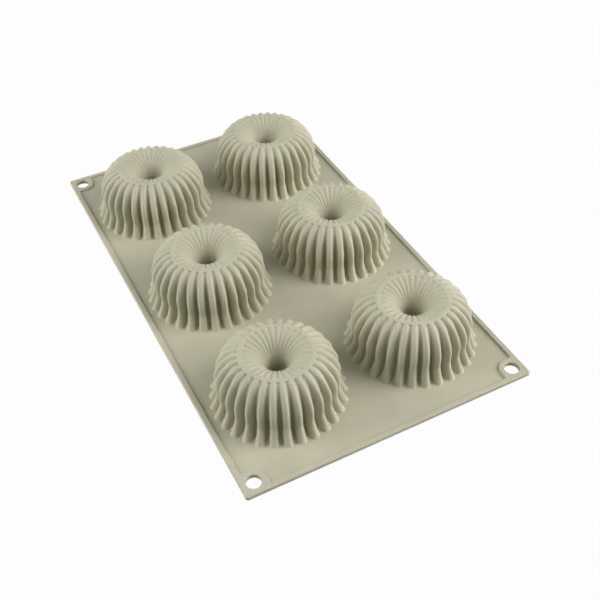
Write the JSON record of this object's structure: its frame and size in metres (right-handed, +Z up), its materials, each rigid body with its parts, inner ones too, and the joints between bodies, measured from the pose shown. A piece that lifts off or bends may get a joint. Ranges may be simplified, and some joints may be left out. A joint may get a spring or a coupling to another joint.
{
  "type": "silicone baking mould",
  "caption": "Flexible silicone baking sheet with fluted ring-shaped cups, a raised rim and corner eyelets; it bends between the rows of cups to release the bakes.",
  "frame": {"origin": "centre of the sheet's underside, where the cup mouths open", "axes": "+X across the short side, +Y along the long side, +Z up through the cups to their crowns"},
  "size_m": [0.175, 0.3, 0.035],
  "materials": {
    "silicone": "satin matte moulded silicone"
  },
  "bodies": {
    "middle_row": {"web_middle": "silicone", "flex_strip_front": "silicone", "flex_strip_back": "silicone", "rim_middle_left": "silicone", "rim_middle_right": "silicone", "cup_wall_middle_left": "silicone", "cup_crown_middle_left": "silicone", "cup_core_middle_left": "silicone", "cup_wall_middle_right": "silicone", "cup_crown_middle_right": "silicone", "cup_core_middle_right": "silicone"},
    "front_row": {"web_front": "silicone", "rim_front": "silicone", "rim_front_left": "silicone", "rim_front_right": "silicone", "eyelet_front_left": "silicone", "eyelet_front_right": "silicone", "cup_wall_front_left": "silicone", "cup_crown_front_left": "silicone", "cup_core_front_left": "silicone", "cup_wall_front_right": "silicone", "cup_crown_front_right": "silicone", "cup_core_front_right": "silicone"},
    "back_row": {"web_back": "silicone", "rim_back": "silicone", "rim_back_left": "silicone", "rim_back_right": "silicone", "eyelet_back_left": "silicone", "eyelet_back_right": "silicone", "cup_wall_back_left": "silicone", "cup_crown_back_left": "silicone", "cup_core_back_left": "silicone", "cup_wall_back_right": "silicone", "cup_crown_back_right": "silicone", "cup_core_back_right": "silicone"}
  },
  "joints": [
    {"name": "front_flex", "type": "hinge", "parent": "middle_row", "child": "front_row", "pos_m": [0, -0.04765, 0.0009], "axis": [-1, 0, 0], "range_deg": [-90, 55], "stiffness_Nm_per_rad": 0.02, "deforming": ["flex_strip_front"]},
    {"name": "back_flex", "type": "hinge", "parent": "middle_row", "child": "back_row", "pos_m": [0, 0.04765, 0.0009], "axis": [1, 0, 0], "range_deg": [-90, 55], "stiffness_Nm_per_rad": 0.02, "deforming": ["flex_strip_back"]}
  ]
}
